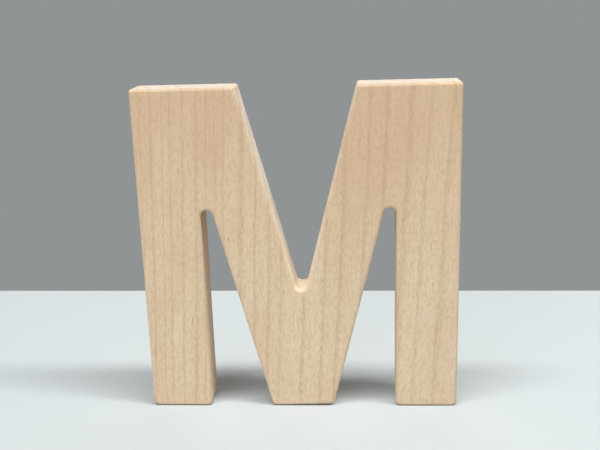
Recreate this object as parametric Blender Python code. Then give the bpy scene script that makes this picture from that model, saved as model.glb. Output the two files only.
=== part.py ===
"""A freestanding wooden block letter M, sawn from one board and sanded.

The letter stands on its three feet. The origin is on the floor under the middle of the
board, +Z is up, +X runs along the letter's width and the front face looks along -Y.
All sizes are in metres.
"""

import math

import bmesh
import bpy
from mathutils import Matrix, Vector

# Board
HEIGHT = 0.1016
WIDTH = 0.0968
THICKNESS = 0.0111

# Strokes
STEM_WIDTH = 0.0190
FOOT_WIDTH = 0.0195

# The notch between the two upper arms, open at the top
NOTCH_MOUTH = 0.0358
NOTCH_POINT_HEIGHT = 0.0334  # where its straight walls would meet, under the rounded root
NOTCH_ROOT_RADIUS = 0.00195

# The two slots beside the middle foot, open at the floor
SLOT_POINT_HEIGHT = 0.0778  # where its straight walls would meet, over the rounded end
SLOT_END_RADIUS = 0.00185

# Sanding
TOP_CORNER_RADIUS = 0.0011
FOOT_CORNER_RADIUS = 0.0015
EDGE_RADIUS = 0.0010

# Steps in each round stretch
CORNER_STEPS = 6
ROOT_STEPS = 14
EDGE_STEPS = 4
SHARP_EDGE = math.radians(60)

# Bare maple
WOOD_COLOUR = (0.617, 0.462, 0.309, 1.0)
WOOD_ROUGHNESS = 0.62


def clear_scene():
    """Removes every object of the startup scene."""
    for item in list(bpy.data.objects):
        bpy.data.objects.remove(item)


def rounded_corner(before, corner, after, radius, steps):
    """The points of an arc that rounds a corner between two straight sides."""
    to_before = (before - corner).normalized()
    to_after = (after - corner).normalized()
    half_angle = to_before.angle(to_after) / 2
    centre = corner + (to_before + to_after).normalized() * radius / math.sin(half_angle)
    reach = radius / math.tan(half_angle)
    spoke = corner + to_before * reach - centre
    turn = spoke.angle_signed(corner + to_after * reach - centre)
    angles = [-turn * step / steps for step in range(steps + 1)]
    return [centre + Matrix.Rotation(angle, 2) @ spoke for angle in angles]


def letter_corners():
    """The letter's corners in order round its face, each with its radius and steps."""
    side = WIDTH / 2
    stem = side - STEM_WIDTH
    foot = FOOT_WIDTH / 2
    mouth = NOTCH_MOUTH / 2
    right_half = [
        (foot, 0, FOOT_CORNER_RADIUS, CORNER_STEPS),
        (stem, SLOT_POINT_HEIGHT, SLOT_END_RADIUS, ROOT_STEPS),
        (stem, 0, FOOT_CORNER_RADIUS, CORNER_STEPS),
        (side, 0, FOOT_CORNER_RADIUS, CORNER_STEPS),
        (side, HEIGHT, TOP_CORNER_RADIUS, CORNER_STEPS),
        (mouth, HEIGHT, TOP_CORNER_RADIUS, CORNER_STEPS),
    ]
    left_half = [(-x, z, radius, steps) for x, z, radius, steps in reversed(right_half)]
    root = (0, NOTCH_POINT_HEIGHT, NOTCH_ROOT_RADIUS, ROOT_STEPS)
    return [*right_half, root, *left_half]


def letter_outline():
    """The points of the letter's face, as (x, z), with every corner rounded."""
    corners = letter_corners()
    points = []
    for index, (x, z, radius, steps) in enumerate(corners):
        before = Vector(corners[index - 1][:2])
        after = Vector(corners[(index + 1) % len(corners)][:2])
        points += rounded_corner(before, Vector((x, z)), after, radius, steps)
    return points


def wood_material():
    """Bare sanded maple, pale and matt."""
    material = bpy.data.materials.new("bare_maple")
    material.use_nodes = True
    shader = material.node_tree.nodes["Principled BSDF"]
    shader.inputs["Base Color"].default_value = WOOD_COLOUR
    shader.inputs["Roughness"].default_value = WOOD_ROUGHNESS
    shader.inputs["Metallic"].default_value = 0.0
    return material


def make_letter():
    """Saws the letter out of the board, and eases its front and back edges."""
    shape = bmesh.new()
    front = -THICKNESS / 2
    face = shape.faces.new([shape.verts.new((x, front, z)) for x, z in letter_outline()])
    sawn = bmesh.ops.extrude_face_region(shape, geom=[face])["geom"]
    back = [part for part in sawn if isinstance(part, bmesh.types.BMVert)]
    bmesh.ops.translate(shape, verts=back, vec=(0, THICKNESS, 0))
    bmesh.ops.recalc_face_normals(shape, faces=shape.faces)
    mesh = bpy.data.meshes.new("letter_m")
    shape.to_mesh(mesh)
    shape.free()
    mesh.materials.append(wood_material())
    letter = bpy.data.objects.new("letter_m", mesh)
    bpy.context.scene.collection.objects.link(letter)
    eased = letter.modifiers.new("eased_edges", "BEVEL")
    eased.limit_method = "ANGLE"
    eased.angle_limit = SHARP_EDGE
    eased.width = EDGE_RADIUS
    eased.segments = EDGE_STEPS
    eased.use_clamp_overlap = False
    return letter


def main():
    """Clears the scene and makes the letter."""
    clear_scene()
    make_letter()


main()
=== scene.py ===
"""The freestanding wooden letter M, dressed as bare sanded maple for its portrait.

The letter replaces the plain solid of the frame with the same form in a finer mesh. Its
wood is a solid pattern: growth rings round a heart that lies outside the board, so that
the lines on the faces, on the sawn walls and on the end grain all belong together.
"""

import logging
import math
from collections.abc import Iterator
from dataclasses import dataclass, field
from enum import Enum

import bmesh
import bpy
from mathutils import Matrix, Vector, noise
from mathutils.kdtree import KDTree


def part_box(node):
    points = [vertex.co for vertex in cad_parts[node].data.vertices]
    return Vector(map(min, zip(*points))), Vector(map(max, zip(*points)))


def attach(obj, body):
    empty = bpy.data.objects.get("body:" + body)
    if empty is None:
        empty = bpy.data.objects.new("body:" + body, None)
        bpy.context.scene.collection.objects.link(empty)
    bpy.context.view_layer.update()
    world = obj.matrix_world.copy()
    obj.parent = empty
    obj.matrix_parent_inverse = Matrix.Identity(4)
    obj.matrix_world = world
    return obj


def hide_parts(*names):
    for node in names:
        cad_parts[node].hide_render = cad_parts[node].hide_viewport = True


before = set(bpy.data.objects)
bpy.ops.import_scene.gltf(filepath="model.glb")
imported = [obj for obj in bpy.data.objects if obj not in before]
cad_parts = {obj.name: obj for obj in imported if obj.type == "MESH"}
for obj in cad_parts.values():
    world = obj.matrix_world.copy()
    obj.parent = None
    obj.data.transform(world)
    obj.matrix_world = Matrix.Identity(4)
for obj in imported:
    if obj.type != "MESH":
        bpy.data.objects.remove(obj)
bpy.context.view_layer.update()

LOG = logging.getLogger("letter")
MM = 0.001
PICTURE_WIDTH = 600
SENSOR_WIDTH = 36.0
NOISE_MIDDLE = 0.5

# The screen's colour curve
SCREEN_TOE = 0.04045
SCREEN_SLOPE = 12.92
SCREEN_LIFT = 0.055
SCREEN_POWER = 2.4

Colour = tuple[float, float, float]
Point = tuple[float, float, float]
Socket = bpy.types.NodeSocket


def linear(red: int, green: int, blue: int) -> Colour:
    """Turns a colour as a screen shows it into the renderer's linear values.

    Args:
        red: Red, from 0 to 255.
        green: Green, from 0 to 255.
        blue: Blue, from 0 to 255.

    Returns:
        The same colour with each part from 0 to 1, linear.
    """

    def straighten(level: float) -> float:
        """Undoes the screen's curve for one part of the colour."""
        curve = ((level + SCREEN_LIFT) / (1 + SCREEN_LIFT)) ** SCREEN_POWER
        return level / SCREEN_SLOPE if level <= SCREEN_TOE else curve

    return straighten(red / 255), straighten(green / 255), straighten(blue / 255)


class Axis(Enum):
    """The directions that the fine cuts run square to."""

    ACROSS = (1.0, 0.0, 0.0)
    UP = (0.0, 0.0, 1.0)


@dataclass(frozen=True)
class GrainNoise:
    """Smooth noise: how many features fit in a metre along each axis, and its finer layers."""

    spread: Point
    layers: float


@dataclass(frozen=True)
class Ramp:
    """A range of numbers that becomes another range, and is held at the ends."""

    low: float
    high: float
    to_low: float = 0.0
    to_high: float = 1.0
    smooth: bool = True


class NodeBench:
    """A small bench for wiring a material's nodes."""

    NOISE_ROUGHNESS = 0.55

    def __init__(self, name: str) -> None:
        """Starts a material with a Principled shader and nothing wired to it.

        Args:
            name: The material's name.
        """
        self.material: bpy.types.Material = bpy.data.materials.new(name)
        self.material.use_nodes = True
        self.tree: bpy.types.NodeTree = self.material.node_tree
        self.shader: bpy.types.Node = self.tree.nodes["Principled BSDF"]

    def add(self, kind: str, inputs: dict | None = None, **settings: object) -> bpy.types.Node:
        """Adds a node, sets it up and wires its inputs.

        Args:
            kind: The node's Blender type.
            inputs: Input name or number to a socket to wire from, or a plain value.
            **settings: The node's own properties.

        Returns:
            The new node.
        """
        node = self.tree.nodes.new(kind)
        for key, value in settings.items():
            setattr(node, key, value)
        for key, value in (inputs or {}).items():
            self.feed(node.inputs[key], value)
        return node

    def feed(self, entry: Socket, value: object) -> None:
        """Wires a socket to a node's input, or sets a plain value there.

        Args:
            entry: The input.
            value: A socket to wire from, or a plain value.
        """
        if isinstance(value, Socket):
            self.tree.links.new(value, entry)
        else:
            entry.default_value = value

    def reckon(self, operation: str, *values: object, clamp: bool = False) -> Socket:
        """One step of arithmetic on numbers.

        Args:
            operation: The Math node's operation.
            *values: Its operands, sockets or numbers.
            clamp: Whether the result is kept between 0 and 1.

        Returns:
            The result's socket.
        """
        operands = dict(enumerate(values))
        node = self.add("ShaderNodeMath", operands, operation=operation, use_clamp=clamp)
        return node.outputs[0]

    def stretch(self, vector: Socket, scale: Point) -> Socket:
        """Scales a position differently along each axis."""
        node = self.add("ShaderNodeVectorMath", {0: vector, 1: scale}, operation="MULTIPLY")
        return node.outputs[0]

    def split(self, vector: Socket) -> bpy.types.NodeOutputs:
        """Takes a position apart, into its X, Y and Z."""
        return self.add("ShaderNodeSeparateXYZ", {0: vector}).outputs

    def grain(self, vector: Socket, pattern: GrainNoise) -> Socket:
        """Smooth noise with its own spread along each axis.

        Args:
            vector: The position to read.
            pattern: The noise's spread and layers.

        Returns:
            The noise, from 0 to 1.
        """
        inputs = {
            "Vector": self.stretch(vector, pattern.spread),
            "Scale": 1.0,
            "Detail": pattern.layers,
            "Roughness": self.NOISE_ROUGHNESS,
        }
        return self.add("ShaderNodeTexNoise", inputs).outputs["Fac"]

    def between(self, value: Socket, ramp: Ramp) -> Socket:
        """Maps a number by a ramp.

        Args:
            value: The number to map.
            ramp: The two ranges, and whether the ends ease in and out.

        Returns:
            The mapped number's socket.
        """
        inputs = {
            "Value": value,
            "From Min": ramp.low,
            "From Max": ramp.high,
            "To Min": ramp.to_low,
            "To Max": ramp.to_high,
        }
        kind = "SMOOTHSTEP" if ramp.smooth else "LINEAR"
        return self.add("ShaderNodeMapRange", inputs, interpolation_type=kind).outputs["Result"]

    def blend(self, amount: Socket, first: Socket | Colour, second: Colour) -> Socket:
        """Mixes two colours by an amount that varies over the surface.

        Args:
            amount: How much of the second colour shows, from 0 to 1.
            first: The colour underneath, wired or plain.
            second: The plain colour on top.

        Returns:
            The mixed colour's socket.
        """
        node = self.add("ShaderNodeMix", {"Factor": amount}, data_type="RGBA")
        under, top = (entry for entry in node.inputs if entry.type == "RGBA")
        self.feed(under, first if isinstance(first, Socket) else (*first, 1.0))
        self.feed(top, (*second, 1.0))
        return next(result for result in node.outputs if result.type == "RGBA")


@dataclass(frozen=True)
class WoodGrain:
    """The patterns that the wood's colour and relief are made of, as sockets, with the mask of painted
    light on the sawn surfaces that face up.
    """

    line: Socket
    late_wood: Socket
    fibres: Socket
    stipple: Socket
    wall: Socket
    sawn_and_painted_light_mask: Socket
    end: Socket


@dataclass(frozen=True)
class MapleFinish:
    """Bare maple, sawn along the grain and sanded smooth.

    The heart of the tree lies to the right of the letter and behind it. The tree grew
    fast at first and slowly later, so the rings stand close together at the letter's left.
    """

    # Colours
    pale: Colour = linear(223, 202, 173)
    warm: Colour = linear(210, 181, 149)
    ring_line: Colour = linear(186, 157, 124)
    fleck: Colour = linear(170, 136, 102)
    burnish: Colour = linear(216, 186, 150)
    # Pale for sawn surfaces that face up: partly the paler sawn wood, partly painted light from above
    sawn_pale_and_painted_light: Colour = linear(238, 228, 212)
    end_grain: Colour = linear(155, 147, 131)

    # The tree
    heart: Point = (110.0 * MM, 60.0 * MM, 50.0 * MM)
    lean: float = math.radians(3.4)
    wide_year: float = 4.7 * MM
    narrow_year: float = 2.85 * MM
    slow_growth_from: float = 145.0 * MM
    waver: float = 2.0 * MM
    waver_pattern: GrainNoise = GrainNoise((55, 55, 14), 2)
    uneven_years: float = 0.45
    first_year: float = 150.0

    # Ring lines, by the season, by the year's luck and by the place across the trunk
    line_rise: Ramp = Ramp(0.60, 0.87)
    line_stop: Ramp = Ramp(0.88, 1.0, 1.0, 0.0)
    late_season: Ramp = Ramp(0.15, 0.95)
    year_luck: Ramp = Ramp(0.0, 1.0, 0.65, 1.0, smooth=False)
    left_lines: Ramp = Ramp(-150.0 * MM, -135.0 * MM, 0.95, 1.0)
    right_lines: Ramp = Ramp(-118.0 * MM, -104.0 * MM, 1.0, 0.9)
    line_shade: float = 0.40

    # Slow tints, fibres, stipple and flecks
    height_tint: Ramp = Ramp(-15.0 * MM, 40.0 * MM, 0.1, 0.8, smooth=False)
    patches: GrainNoise = GrainNoise((90, 90, 22), 2)
    patch_tint: Ramp = Ramp(0.35, 0.65, 0.0, 0.4)
    fibres: GrainNoise = GrainNoise((2200, 2200, 90), 3)
    fibre_shade: Ramp = Ramp(0.40, 0.75, 0.0, 0.20)
    stipple: GrainNoise = GrainNoise((1500, 1500, 620), 2)
    stipple_shade: Ramp = Ramp(0.35, 0.75, 0.0, 0.38)
    flecks: GrainNoise = GrainNoise((1300, 1300, 260), 1)
    fleck_shade: Ramp = Ramp(0.72, 0.82, 0.0, 0.6)

    # Sawn walls, end grain and eased edges; painted light pales the sawn surfaces that face up and the
    # end grain lower down
    wall_facing: Ramp = Ramp(0.25, 0.75, 1.0, 0.0)
    # Painted light: how much a sawn surface is paled, by how much it faces up
    painted_light_facing_up: Ramp = Ramp(0.05, 0.25)
    end_facing: Ramp = Ramp(0.45, 0.85)
    sawn_and_painted_light_share: float = 0.75
    pores: GrainNoise = GrainNoise((5200, 5200, 300), 1)
    pore_shade: Ramp = Ramp(0.50, 0.75, 0.45, 0.85)
    # Painted light: end grain lower down, at the notch's root, is darkened only half as much, so it
    # reads as lit from above
    painted_light_low_end_grain: Ramp = Ramp(30.0 * MM, 45.0 * MM, 0.5, 1.0)
    burnish_share: float = 0.35

    # Sheen and relief
    roughness: Ramp = Ramp(0.3, 0.7, 0.56, 0.70)
    specular: float = 0.3
    fibre_rise: float = 0.5
    late_wood_rise: float = 0.3
    saw_marks: GrainNoise = GrainNoise((1900, 60, 1900), 2)
    saw_rise: float = 1.4
    relief_strength: float = 0.30
    relief_depth: float = 0.06 * MM

    def material(self) -> bpy.types.Material:
        """Wires the wood.

        Returns:
            The finished material.
        """
        bench = NodeBench("sanded_maple")
        entries = bench.shader.inputs
        place = bench.add("ShaderNodeTexCoord").outputs["Object"]
        trunk = self._trunk(bench, place)
        grain = self._grain(bench, trunk)
        bench.feed(entries["Base Color"], self._colour(bench, trunk, grain))
        bench.feed(entries["Roughness"], bench.between(grain.stipple, self.roughness))
        bench.feed(entries["Normal"], self._relief(bench, place, grain))
        bench.feed(entries["Specular IOR Level"], self.specular)
        return bench.material

    def _trunk(self, bench: NodeBench, place: Socket) -> Socket:
        """Turns a place on the board into a place in the trunk, with the heart along Z."""
        inputs = {"Vector": place, "Location": self.heart, "Rotation": (0.0, self.lean, 0.0)}
        return bench.add("ShaderNodeMapping", inputs, vector_type="TEXTURE").outputs[0]

    def _years(self, bench: NodeBench, trunk: Socket) -> Socket:
        """Counts the years from the heart outwards, with no two years quite alike.

        Args:
            bench: The material's bench.
            trunk: The place in the trunk.

        Returns:
            The number of years, with the season as its fraction.
        """
        spread = bench.stretch(trunk, (1.0, 1.0, 0.0))
        radius = bench.add("ShaderNodeVectorMath", {0: spread}, operation="LENGTH").outputs["Value"]
        waver = bench.reckon("SUBTRACT", bench.grain(trunk, self.waver_pattern), NOISE_MIDDLE)
        radius = bench.reckon("MULTIPLY_ADD", waver, self.waver, radius)
        slow = bench.reckon("MAXIMUM", bench.reckon("SUBTRACT", radius, self.slow_growth_from), 0.0)
        years = bench.reckon("DIVIDE", radius, self.wide_year)
        years = bench.reckon("MULTIPLY_ADD", slow, 1 / self.narrow_year - 1 / self.wide_year, years)
        inputs = {"W": years, "Scale": self.uneven_years, "Detail": 1.0}
        uneven = bench.add("ShaderNodeTexNoise", inputs, noise_dimensions="1D").outputs["Fac"]
        return bench.reckon("ADD", bench.reckon("SUBTRACT", uneven, NOISE_MIDDLE), years)

    def _line(self, bench: NodeBench, trunk: Socket, years: Socket, season: Socket) -> Socket:
        """The soft dark line that closes each ring, bolder in some years than in others.

        Args:
            bench: The material's bench.
            trunk: The place in the trunk.
            years: The number of years.
            season: Its fraction.

        Returns:
            How dark the line is, from 0 to 1.
        """
        year = bench.reckon("ADD", bench.reckon("FLOOR", years), self.first_year)
        draw = bench.add("ShaderNodeTexWhiteNoise", {"W": year}, noise_dimensions="1D").outputs["Value"]
        across = bench.split(trunk)["X"]
        left = bench.between(across, self.left_lines)
        right = bench.between(across, self.right_lines)
        luck = bench.between(draw, self.year_luck)
        strength = bench.reckon("MULTIPLY", bench.reckon("MULTIPLY", left, right), luck)
        rise = bench.between(season, self.line_rise)
        stop = bench.between(season, self.line_stop)
        return bench.reckon("MULTIPLY", bench.reckon("MULTIPLY", rise, stop), strength)

    def _grain(self, bench: NodeBench, trunk: Socket) -> WoodGrain:
        """Makes the patterns of the wood and of the ways that its surfaces were cut, and the mask of
        painted light on the sawn surfaces that face up.

        Args:
            bench: The material's bench.
            trunk: The place in the trunk.

        Returns:
            The patterns' sockets.
        """
        years = self._years(bench, trunk)
        season = bench.reckon("FRACT", years)
        facing = bench.split(bench.add("ShaderNodeTexCoord").outputs["Normal"])
        wall = bench.between(bench.reckon("ABSOLUTE", facing["Y"]), self.wall_facing)
        upward = bench.between(facing["Z"], self.painted_light_facing_up)
        return WoodGrain(
            line=self._line(bench, trunk, years, season),
            late_wood=bench.between(season, self.late_season),
            fibres=bench.grain(trunk, self.fibres),
            stipple=bench.grain(trunk, self.stipple),
            wall=wall,
            sawn_and_painted_light_mask=bench.reckon("MULTIPLY", wall, upward),
            end=bench.between(bench.reckon("ABSOLUTE", facing["Z"]), self.end_facing),
        )

    def _colour(self, bench: NodeBench, trunk: Socket, grain: WoodGrain) -> Socket:
        """The wood's colour: tints, sawn walls paled partly as paler sawn wood and partly as painted
        light where they face up, stipple, ring lines, flecks, end grain kept paler lower down as
        painted light, and edges.

        Args:
            bench: The material's bench.
            trunk: The place in the trunk.
            grain: The wood's patterns.

        Returns:
            The colour's socket.
        """
        height = bench.split(trunk)["Z"]
        patches = bench.between(bench.grain(trunk, self.patches), self.patch_tint)
        tint = bench.reckon("ADD", bench.between(height, self.height_tint), patches)
        colour = bench.blend(tint, self.pale, self.warm)
        # Painted light: the tops, the notch's walls and its root, which face up, are paled, partly as
        # paler sawn wood and partly as painted light from above
        sawn_and_painted_light = bench.reckon("MULTIPLY", grain.sawn_and_painted_light_mask, self.sawn_and_painted_light_share)
        colour = bench.blend(sawn_and_painted_light, colour, self.sawn_pale_and_painted_light)
        fine = bench.between(grain.fibres, self.fibre_shade)
        speckle = bench.between(grain.stipple, self.stipple_shade)
        line = bench.reckon("MULTIPLY", grain.line, self.line_shade)
        shade = bench.reckon("ADD", bench.reckon("ADD", fine, speckle), line, clamp=True)
        colour = bench.blend(shade, colour, self.ring_line)
        flecks = bench.between(bench.grain(trunk, self.flecks), self.fleck_shade)
        colour = bench.blend(flecks, colour, self.fleck)
        pores = bench.between(bench.grain(trunk, self.pores), self.pore_shade)
        # Painted light: the end grain's darkening is halved lower down, so the notch's root stays pale
        # as if lit from above
        pores = bench.reckon("MULTIPLY", pores, bench.between(height, self.painted_light_low_end_grain))
        colour = bench.blend(bench.reckon("MULTIPLY", grain.end, pores), colour, self.end_grain)
        eased = bench.add("ShaderNodeAttribute", attribute_name=Letter.EASED).outputs["Fac"]
        return bench.blend(bench.reckon("MULTIPLY", eased, self.burnish_share), colour, self.burnish)

    def _relief(self, bench: NodeBench, place: Socket, grain: WoodGrain) -> Socket:
        """The raised grain, and the saw's marks across the walls.

        Args:
            bench: The material's bench.
            place: The place on the board.
            grain: The wood's patterns.

        Returns:
            The bent normal's socket.
        """
        raised = bench.reckon("MULTIPLY_ADD", grain.fibres, self.fibre_rise, grain.stipple)
        raised = bench.reckon("MULTIPLY_ADD", grain.late_wood, self.late_wood_rise, raised)
        saw = bench.reckon("MULTIPLY", bench.grain(place, self.saw_marks), grain.wall)
        height = bench.reckon("MULTIPLY_ADD", saw, self.saw_rise, raised)
        inputs = {"Strength": self.relief_strength, "Distance": self.relief_depth, "Height": height}
        return bench.add("ShaderNodeBump", inputs).outputs["Normal"]


@dataclass(frozen=True)
class PlainFinish:
    """A plain matt surface for the stage."""

    name: str
    colour: Colour
    roughness: float = 0.85

    def material(self) -> bpy.types.Material:
        """Makes the plain material.

        Returns:
            The finished material.
        """
        bench = NodeBench(self.name)
        bench.feed(bench.shader.inputs["Base Color"], (*self.colour, 1.0))
        bench.feed(bench.shader.inputs["Roughness"], self.roughness)
        return bench.material


@dataclass(frozen=True)
class Corner:
    """A corner of the face, where two saw cuts would meet, and how it is rounded."""

    x: float
    z: float
    radius: float
    steps: int

    @property
    def point(self) -> Vector:
        """Where the two cuts would meet."""
        return Vector((self.x, 0.0, self.z))

    def sweep(self, shape: bmesh.types.BMesh, before: Vector, after: Vector,
              depth: float) -> tuple[bmesh.types.BMVert, bmesh.types.BMVert]:
        """Spins a point through the corner's arc.

        Args:
            shape: The mesh that gets the arc.
            before: The corner that comes before this one.
            after: The corner that comes after it.
            depth: Where the face lies, along Y.

        Returns:
            The arc's first and last vertex.
        """
        back = (before - self.point).normalized()
        ahead = (after - self.point).normalized()
        half = back.angle(ahead) / 2
        centre = self.point + (back + ahead).normalized() * self.radius / math.sin(half)
        start = self.point + back * self.radius / math.tan(half)
        lift = Vector((0.0, depth, 0.0))
        way = 1.0 if back.cross(ahead).y > 0 else -1.0
        first = shape.verts.new(start + lift)
        spun = bmesh.ops.spin(shape, geom=[first], cent=centre + lift, axis=(0.0, -way, 0.0),
                              angle=math.pi - 2 * half, steps=self.steps, use_merge=False)
        last = next(part for part in spun["geom_last"] if isinstance(part, bmesh.types.BMVert))
        return first, last


@dataclass
class Letter:
    """The letter itself, sawn from one board, with every edge eased by sanding."""

    EASED = "eased"

    # The board
    low: Vector
    high: Vector

    # Strokes, notch and slots
    stem_width: float = 19.0 * MM
    foot_width: float = 19.5 * MM
    notch_mouth: float = 35.8 * MM
    notch_point_height: float = 33.4 * MM
    notch_root_radius: float = 1.95 * MM
    notch_shift: float = 0.3 * MM
    slot_point_height: float = 77.8 * MM
    slot_end_radius: float = 1.85 * MM

    # Corners and edges
    top_corner_radius: float = 1.1 * MM
    foot_corner_radius: float = 1.5 * MM
    worn_corner_radius: float = 2.3 * MM
    middle_foot_lift: float = 0.45 * MM
    edge_radius: float = 1.0 * MM
    sharp_edge: float = math.radians(60)
    burnish_reach: float = 1.6 * MM

    # Fineness of the mesh
    edge_steps: int = 8
    corner_steps: int = 10
    root_steps: int = 24
    cut_spacing: float = 2.2 * MM
    cut_snap: float = 0.02 * MM

    # Hand sanding: how much it takes off, and its slow and quick waves in a metre
    sanding_depth: float = 0.03 * MM
    sanding_wave: float = 0.02 * MM
    slow_waves: float = 60.0
    quick_waves: float = 170.0
    quick_share: float = 0.5

    finish: MapleFinish = field(default_factory=MapleFinish)

    def corners(self) -> list[Corner]:
        """The face's corners in order, seen from the front and starting at the middle foot.

        Returns:
            The corners of the right half, the notch and the left half.
        """
        side, top = self.high.x, self.high.z
        stem = side - self.stem_width
        middle = self.foot_width / 2
        mouth = self.notch_mouth / 2
        shift = self.notch_shift

        def foot(x: float, z: float = 0.0) -> Corner:
            """An outer corner at a foot."""
            return Corner(x, z, self.foot_corner_radius, self.corner_steps)

        def shoulder(x: float) -> Corner:
            """An outer corner at the top."""
            return Corner(x, top, self.top_corner_radius, self.corner_steps)

        def slot_end(x: float) -> Corner:
            """The round end of a slot."""
            return Corner(x, self.slot_point_height, self.slot_end_radius, self.root_steps)

        lifted = foot(middle, self.middle_foot_lift)
        worn = Corner(-side, 0.0, self.worn_corner_radius, self.corner_steps)
        root = Corner(shift, self.notch_point_height, self.notch_root_radius, self.root_steps)
        right_half = [lifted, slot_end(stem), foot(stem), foot(side), shoulder(side)]
        notch = [shoulder(shift + mouth), root, shoulder(shift - mouth)]
        left_half = [shoulder(-side), worn, foot(-stem), slot_end(-stem), foot(-middle)]
        return [*right_half, *notch, *left_half]

    def build(self) -> bpy.types.Object:
        """Makes the letter's mesh, puts it in the scene and dresses it.

        Returns:
            The letter's object, in place and dressed.
        """
        shape = bmesh.new()
        self._draw_face(shape)
        self._saw_out(shape)
        rims = self._ease_edges(shape)
        self._cut_fine(shape)
        self._mark_edges(shape, rims)
        self._sand(shape)
        mesh = bpy.data.meshes.new("sawn_letter")
        shape.to_mesh(mesh)
        shape.free()
        letter = bpy.data.objects.new("sawn_letter", mesh)
        bpy.context.scene.collection.objects.link(letter)
        self._dress(letter)
        return letter

    def _draw_face(self, shape: bmesh.types.BMesh) -> None:
        """Draws the front face: an arc at each corner, joined by straight cuts.

        Args:
            shape: The empty mesh.
        """
        corners = self.corners()
        arcs = []
        for index, corner in enumerate(corners):
            before = corners[index - 1].point
            after = corners[(index + 1) % len(corners)].point
            arcs.append(corner.sweep(shape, before, after, self.low.y))
        for (_, end), (start, _) in zip(arcs, [*arcs[1:], arcs[0]]):
            shape.edges.new((end, start))
        bmesh.ops.contextual_create(shape, geom=shape.edges[:])

    def _saw_out(self, shape: bmesh.types.BMesh) -> None:
        """Takes the face through the thickness of the board.

        Args:
            shape: The drawn face.
        """
        sawn = bmesh.ops.extrude_face_region(shape, geom=shape.faces[:])["geom"]
        back = [part for part in sawn if isinstance(part, bmesh.types.BMVert)]
        bmesh.ops.translate(shape, verts=back, vec=(0.0, self.high.y - self.low.y, 0.0))
        bmesh.ops.recalc_face_normals(shape, faces=shape.faces[:])

    def _ease_edges(self, shape: bmesh.types.BMesh) -> list[Vector]:
        """Rounds the front and back edges.

        Args:
            shape: The sawn letter.

        Returns:
            Places along the rounded edges.
        """
        sharp = [edge for edge in shape.edges if edge.calc_face_angle() > self.sharp_edge]
        eased = bmesh.ops.bevel(shape, geom=sharp, offset=self.edge_radius, offset_type="OFFSET",
                                segments=self.edge_steps, profile=0.5, affect="EDGES", material=-1)
        return [vertex.co.copy() for vertex in eased["verts"]]

    def _cut_fine(self, shape: bmesh.types.BMesh) -> None:
        """Slices the whole letter finely, so that its faces can take the sanding.

        Args:
            shape: The letter with its edges eased.
        """
        spans = {Axis.ACROSS: (self.low.x, self.high.x), Axis.UP: (self.low.z, self.high.z)}
        for axis, (start, end) in spans.items():
            for place in self._steps(start, end):
                every = [*shape.verts, *shape.edges, *shape.faces]
                bmesh.ops.bisect_plane(shape, geom=every, dist=self.cut_snap,
                                       plane_co=Vector(axis.value) * place, plane_no=axis.value)

    def _steps(self, start: float, end: float) -> Iterator[float]:
        """Even steps between two places, without the ends."""
        count = round((end - start) / self.cut_spacing)
        return (start + (end - start) * step / count for step in range(1, count))

    def _mark_edges(self, shape: bmesh.types.BMesh, rims: list[Vector]) -> None:
        """Marks how near each vertex is to an eased edge, for the finish to read.

        Args:
            shape: The letter's mesh.
            rims: Places along the rounded edges.
        """
        tree = KDTree(len(rims))
        for index, place in enumerate(rims):
            tree.insert(place, index)
        tree.balance()
        layer = shape.verts.layers.float.new(self.EASED)
        for vertex in shape.verts:
            gap = tree.find(vertex.co)[2]
            vertex[layer] = max(0.0, 1.0 - gap / self.burnish_reach) ** 2

    def _sand(self, shape: bmesh.types.BMesh) -> None:
        """Lets the surface wave by a hair, as hand sanding leaves it, with the feet kept flat.

        Args:
            shape: The letter's mesh.
        """
        shape.normal_update()
        for vertex in shape.verts:
            if vertex.co.z < self.edge_radius:
                continue
            wave = noise.noise(vertex.co * self.slow_waves)
            wave += self.quick_share * noise.noise(vertex.co * self.quick_waves)
            vertex.co -= vertex.normal * (self.sanding_depth + self.sanding_wave * wave)

    def _dress(self, letter: bpy.types.Object) -> None:
        """Smooths the letter's shading, keeps its faces flat and gives it its wood.

        Args:
            letter: The letter's object.
        """
        letter.data.shade_smooth()
        flat = letter.modifiers.new("flat_faces", "WEIGHTED_NORMAL")
        flat.weight = 100
        letter.data.materials.append(self.finish.material())


@dataclass(frozen=True)
class Lamp:
    """A soft panel of light."""

    name: str
    place: Point
    aim: Point
    width: float
    depth: float
    watts: float

    def hang(self) -> None:
        """Puts the lamp in the scene, facing what it lights."""
        panel = bpy.data.lights.new(self.name, "AREA")
        panel.shape = "RECTANGLE"
        panel.size = self.width
        panel.size_y = self.depth
        panel.energy = self.watts
        lamp = bpy.data.objects.new(self.name, panel)
        beam = Vector(self.aim) - Vector(self.place)
        lamp.location = self.place
        lamp.rotation_euler = beam.to_track_quat("-Z", "Y").to_euler()
        bpy.context.scene.collection.objects.link(lamp)


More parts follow.
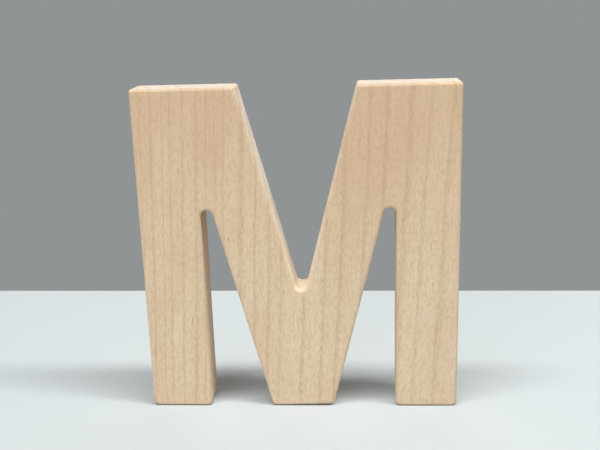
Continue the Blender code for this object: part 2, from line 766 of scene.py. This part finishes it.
@dataclass
class Studio:
    """A pale table in a plain grey room, lit from above by a long narrow lamp."""

    # The table, which ends a little behind the letter
    table_end: float = 100.0 * MM
    table_turn: float = math.radians(-1.2)
    table_size: tuple[float, float] = (3.2, 1.3)
    table: PlainFinish = PlainFinish("pale_table", linear(181, 187, 188))

    # The lamps: above and to the right, in front and to the left, and behind
    overhead: Lamp = Lamp("overhead_strip", (0.38, -0.222, 1.30), (0.38, 0.0, 0.05), 1.8, 0.115, 29.6)
    fill: Lamp = Lamp("front_fill", (-0.68, -1.20, 0.42), (0.0, 0.0, 0.05), 1.2, 0.7, 10.2)
    back_fill: Lamp = Lamp("back_fill", (0.20, 1.20, 0.60), (0.0, 0.0, 0.05), 1.8, 0.9, 7.0)

    # The room
    grey: Colour = linear(144, 148, 149)
    daylight: Colour = (0.94, 0.97, 1.0)
    daylight_strength: float = 0.10

    def build(self) -> bpy.types.Object:
        """Lays the table, hangs the lamps and lights the room.

        Returns:
            The table.
        """
        table = self._lay_table()
        for lamp in (self.overhead, self.fill, self.back_fill):
            lamp.hang()
        self._light_room()
        return table

    def _lay_table(self) -> bpy.types.Object:
        """Lays the table with its far edge behind the letter.

        Returns:
            The table's object.
        """
        shape = bmesh.new()
        width, depth = self.table_size
        corners = bmesh.ops.create_grid(shape, x_segments=1, y_segments=1, size=0.5)["verts"]
        bmesh.ops.scale(shape, verts=corners, vec=(width, depth, 1.0))
        bmesh.ops.translate(shape, verts=corners, vec=(0.0, self.table_end - depth / 2, 0.0))
        turn = Matrix.Rotation(self.table_turn, 3, "Z")
        bmesh.ops.rotate(shape, verts=corners, cent=(0.0, 0.0, 0.0), matrix=turn)
        mesh = bpy.data.meshes.new("table")
        shape.to_mesh(mesh)
        shape.free()
        mesh.materials.append(self.table.material())
        table = bpy.data.objects.new("table", mesh)
        bpy.context.scene.collection.objects.link(table)
        return table

    def _light_room(self) -> None:
        """Fills the room with a weak even light, and shows plain grey behind the table."""
        world = bpy.data.worlds.new("room")
        world.use_nodes = True
        nodes, links = world.node_tree.nodes, world.node_tree.links
        light = nodes["Background"]
        light.inputs["Color"].default_value = (*self.daylight, 1.0)
        light.inputs["Strength"].default_value = self.daylight_strength
        seen = nodes.new("ShaderNodeBackground")
        seen.inputs["Color"].default_value = (*self.grey, 1.0)
        rays = nodes.new("ShaderNodeLightPath")
        looking = rays.outputs["Is Camera Ray"]
        for kind in ("Is Glossy Ray", "Is Transmission Ray"):
            either = nodes.new("ShaderNodeMath")
            either.operation = "MAXIMUM"
            links.new(looking, either.inputs[0])
            links.new(rays.outputs[kind], either.inputs[1])
            looking = either.outputs[0]
        choice = nodes.new("ShaderNodeMixShader")
        links.new(looking, choice.inputs["Fac"])
        links.new(light.outputs[0], choice.inputs[1])
        links.new(seen.outputs[0], choice.inputs[2])
        links.new(choice.outputs[0], nodes["World Output"].inputs["Surface"])
        bpy.context.scene.world = world


@dataclass(frozen=True)
class PhotoCamera:
    """The camera at the photograph's place, found from the letter's edges."""

    place: Point = (17.12 * MM, -244.1 * MM, 127.2 * MM)
    yaw: float = math.radians(-3.955)
    pitch: float = math.radians(15.69)
    roll: float = math.radians(-1.81)
    focal_pixels: float = 827.6
    nearest: float = 10.0 * MM

    def build(self) -> bpy.types.Object:
        """Sets the camera up and makes it the scene's own.

        Returns:
            The camera's object.
        """
        level = Vector((math.cos(self.yaw), -math.sin(self.yaw), 0.0))
        forward = Vector((math.sin(self.yaw), math.cos(self.yaw), 0.0))
        ahead = forward * math.cos(self.pitch) - Vector((0.0, 0.0, math.sin(self.pitch)))
        upright = level.cross(ahead)
        turn = Matrix((level, upright, -ahead)).transposed() @ Matrix.Rotation(self.roll, 3, "Z")
        lens = bpy.data.cameras.new("photo_camera")
        lens.sensor_width = SENSOR_WIDTH
        lens.lens = self.focal_pixels / PICTURE_WIDTH * SENSOR_WIDTH
        lens.clip_start = self.nearest
        camera = bpy.data.objects.new("photo_camera", lens)
        camera.matrix_world = Matrix.Translation(self.place) @ turn.to_4x4()
        bpy.context.scene.collection.objects.link(camera)
        bpy.context.scene.camera = camera
        return camera


def main() -> None:
    """Builds the letter, the studio and the camera, and reports each."""
    logging.basicConfig(level=logging.INFO, format="%(name)s: %(message)s")
    bpy.context.scene.view_settings.view_transform = "Standard"
    low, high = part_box("letter_m")
    letter = Letter(Vector(low), Vector(high)).build()
    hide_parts("letter_m")
    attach(letter, "root")
    LOG.info("%s has %d faces", letter.name, len(letter.data.polygons))
    LOG.info("%s is laid", Studio().build().name)
    LOG.info("%s is set", PhotoCamera().build().name)


if __name__ == "__main__":
    main()
